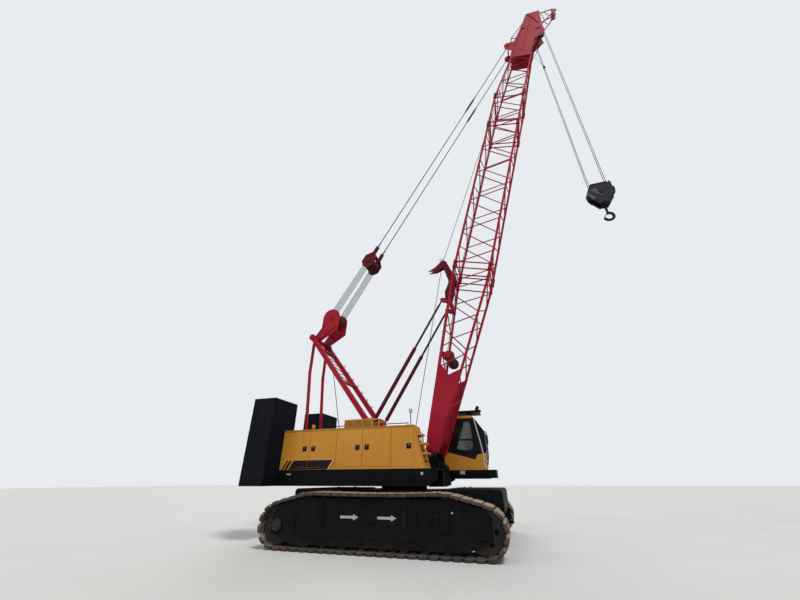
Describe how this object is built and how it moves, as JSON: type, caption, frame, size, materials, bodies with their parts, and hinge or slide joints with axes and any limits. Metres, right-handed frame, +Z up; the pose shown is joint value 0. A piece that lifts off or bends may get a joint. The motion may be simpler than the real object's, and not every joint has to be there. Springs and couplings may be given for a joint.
{
  "type": "lattice-boom crawler crane",
  "caption": "Crawler crane with a slewing cab and hoods, a steep lattice boom on a gantry, and a hook block on falling ropes.",
  "frame": {"origin": "on the slewing axis, at the ground under the tracks", "axes": "+X towards the crane's front, +Y to its left, +Z up"},
  "size_m": [15.5698, 6.21, 28.7072],
  "materials": {
    "black_paint": "semi-gloss black paint, dusty and scuffed",
    "track_steel": "bare cast steel, rusty brown with worn tan faces",
    "wheel_steel": "greasy dark cast steel",
    "ring_steel": "machined steel",
    "ochre_paint": "satin yellow-ochre paint",
    "red_paint": "satin crimson paint",
    "dark_red_paint": "faded dark red paint",
    "winch_paint": "satin dark red paint with wound rope",
    "weight_paint": "matt navy-black paint",
    "block_paint": "worn navy paint with faded stripes",
    "rod_steel": "dull dark steel",
    "rope_steel": "greased steel rope",
    "engine_paint": "grey engine enamel",
    "cab_glass": "tinted glass",
    "seat_plastic": "black cloth and plastic"
  },
  "bodies": {
    "undercarriage": {"carbody": "black_paint", "carbody_weights": "black_paint", "track_frames": "black_paint", "right_track": "track_steel", "left_track": "track_steel", "sprockets": "wheel_steel", "idlers": "wheel_steel", "track_rollers": "wheel_steel", "swing_ring": "ring_steel"},
    "upper": {"deck": "black_paint", "right_hood": "ochre_paint", "left_hood": "ochre_paint", "engine": "engine_paint", "roof_fittings": "ochre_paint", "rails_and_guard": "black_paint", "cab_platform": "black_paint", "cab_shell": "ochre_paint", "cab_glass": "cab_glass", "cab_seat": "seat_plastic", "winches": "winch_paint", "counterweight_tray": "black_paint", "counterweights": "weight_paint", "gantry_strut": "red_paint", "gantry_backstays": "red_paint", "gantry_head": "red_paint", "gantry_sheaves": "dark_red_paint", "lower_luffing_falls": "rope_steel"},
    "backstop_tube_body": {"backstop_tubes": "dark_red_paint"},
    "backstop_rod_body": {"backstop_rods": "rod_steel"},
    "boom": {"boom_base": "red_paint", "boom_insert": "red_paint", "boom_short_insert": "red_paint", "boom_tip": "red_paint", "head_sheaves": "dark_red_paint", "boom_drum": "dark_red_paint", "rope_guide": "dark_red_paint", "pendants": "rope_steel", "bridle": "dark_red_paint", "upper_luffing_falls": "rope_steel"},
    "block_body": {"hook_falls": "rope_steel", "hook_block": "block_paint"},
    "hook_body": {"hook": "block_paint"},
    "hood_door_1_body": {"hood_door_1": "ochre_paint"},
    "hood_door_2_body": {"hood_door_2": "ochre_paint"},
    "hood_door_3_body": {"hood_door_3": "ochre_paint"},
    "hood_door_4_body": {"hood_door_4": "ochre_paint"},
    "hood_door_5_body": {"hood_door_5": "ochre_paint"},
    "left_door_1_body": {"left_door_1": "ochre_paint"},
    "left_door_2_body": {"left_door_2": "ochre_paint"},
    "cab_door_body": {"cab_door": "ochre_paint"}
  },
  "joints": [
    {"name": "slew", "type": "hinge", "parent": "undercarriage", "child": "upper", "pos_m": [0, 0, 1.2], "axis": [0, 0, 1], "continuous": true},
    {"name": "boom_luff", "type": "hinge", "parent": "upper", "child": "boom", "pos_m": [1.174, 0, 2.461], "axis": [0, -1, 0], "range_deg": [-40, 6]},
    {"name": "hook_hang", "type": "hinge", "parent": "boom", "child": "block_body", "pos_m": [9.09843, 0, 26.66252], "axis": [0, -1, 0], "range_deg": [-8, 42]},
    {"name": "hook_swivel", "type": "hinge", "parent": "block_body", "child": "hook_body", "pos_m": [9.09843, 0, 12], "axis": [0, 0, 1], "continuous": true},
    {"name": "backstop_turn", "type": "hinge", "parent": "upper", "child": "backstop_tube_body", "pos_m": [-1, 0, 3.72], "axis": [0, -1, 0], "range_deg": [-38, 8]},
    {"name": "backstop_slide", "type": "slide", "parent": "backstop_tube_body", "child": "backstop_rod_body", "axis": [0.5245, 0, 0.8514], "range_m": [-0.28, 1.7]},
    {"name": "hood_door_1_hinge", "type": "hinge", "parent": "upper", "child": "hood_door_1_body", "pos_m": [-4.081, -1.595, 2.7], "axis": [0, 0, -1], "range_deg": [0, 85]},
    {"name": "hood_door_2_hinge", "type": "hinge", "parent": "upper", "child": "hood_door_2_body", "pos_m": [-1.981, -1.595, 2.7], "axis": [0, 0, 1], "range_deg": [0, 85]},
    {"name": "hood_door_3_hinge", "type": "hinge", "parent": "upper", "child": "hood_door_3_body", "pos_m": [-1.943, -1.595, 2.7], "axis": [0, 0, -1], "range_deg": [0, 85]},
    {"name": "hood_door_4_hinge", "type": "hinge", "parent": "upper", "child": "hood_door_4_body", "pos_m": [0.02, -1.595, 2.7], "axis": [0, 0, 1], "range_deg": [0, 85]},
    {"name": "hood_door_5_hinge", "type": "hinge", "parent": "upper", "child": "hood_door_5_body", "pos_m": [0.058, -1.595, 2.7], "axis": [0, 0, -1], "range_deg": [0, 85]},
    {"name": "left_door_1_hinge", "type": "hinge", "parent": "upper", "child": "left_door_1_body", "pos_m": [-3.001, 1.595, 2.7], "axis": [0, 0, 1], "range_deg": [0, 85]},
    {"name": "left_door_2_hinge", "type": "hinge", "parent": "upper", "child": "left_door_2_body", "pos_m": [-1.01, 1.595, 2.7], "axis": [0, 0, -1], "range_deg": [0, 85]},
    {"name": "cab_door_hinge", "type": "hinge", "parent": "upper", "child": "cab_door_body", "pos_m": [1.392, 1.768, 3], "axis": [0, 0, 1], "range_deg": [0, 85]}
  ],
  "couplings": [
    {"joint": "hook_hang", "follows": "boom_luff", "ratio": -1},
    {"joint": "backstop_turn", "follows": "boom_luff", "ratio": 0.888},
    {"joint": "backstop_slide", "follows": "boom_luff", "m_per_rad": -2.375}
  ]
}
